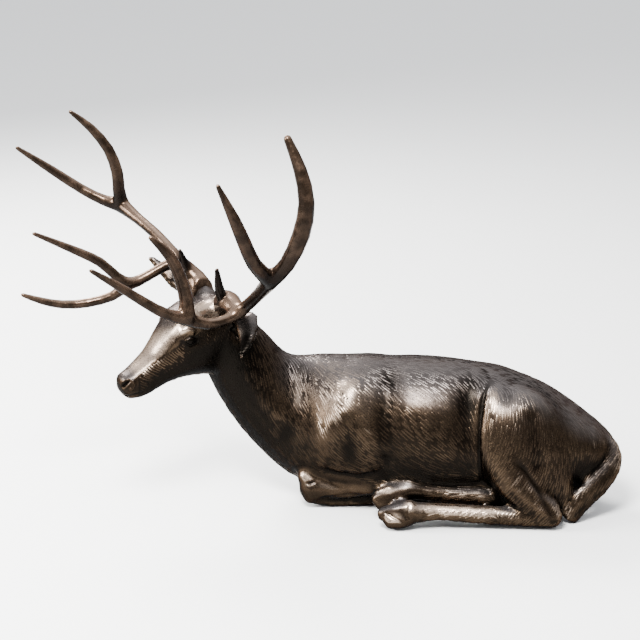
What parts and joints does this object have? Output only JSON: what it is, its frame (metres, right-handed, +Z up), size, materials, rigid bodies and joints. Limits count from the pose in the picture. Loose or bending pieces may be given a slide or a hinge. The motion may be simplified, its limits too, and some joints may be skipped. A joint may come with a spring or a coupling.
{
  "type": "stag sculpture",
  "caption": "Cast bronze sculpture of a stag lying down with its legs folded, its head turned to one side and wide bow-shaped antlers.",
  "frame": {"origin": "on the ground under the middle of the trunk, in the plane of the flat underside", "axes": "+X from the head towards the tail, +Y from the stag's left side to its right, +Z up"},
  "size_m": [1.6518, 0.7208, 1.0624],
  "materials": {
    "bronze": "dark brown patina with worn copper highlights",
    "antler_bronze": "smooth satin brown patina, lighter where it is worn"
  },
  "bodies": {
    "root": {"stag_body": "bronze", "antler_left": "antler_bronze", "antler_right": "antler_bronze"}
  },
  "joints": []
}
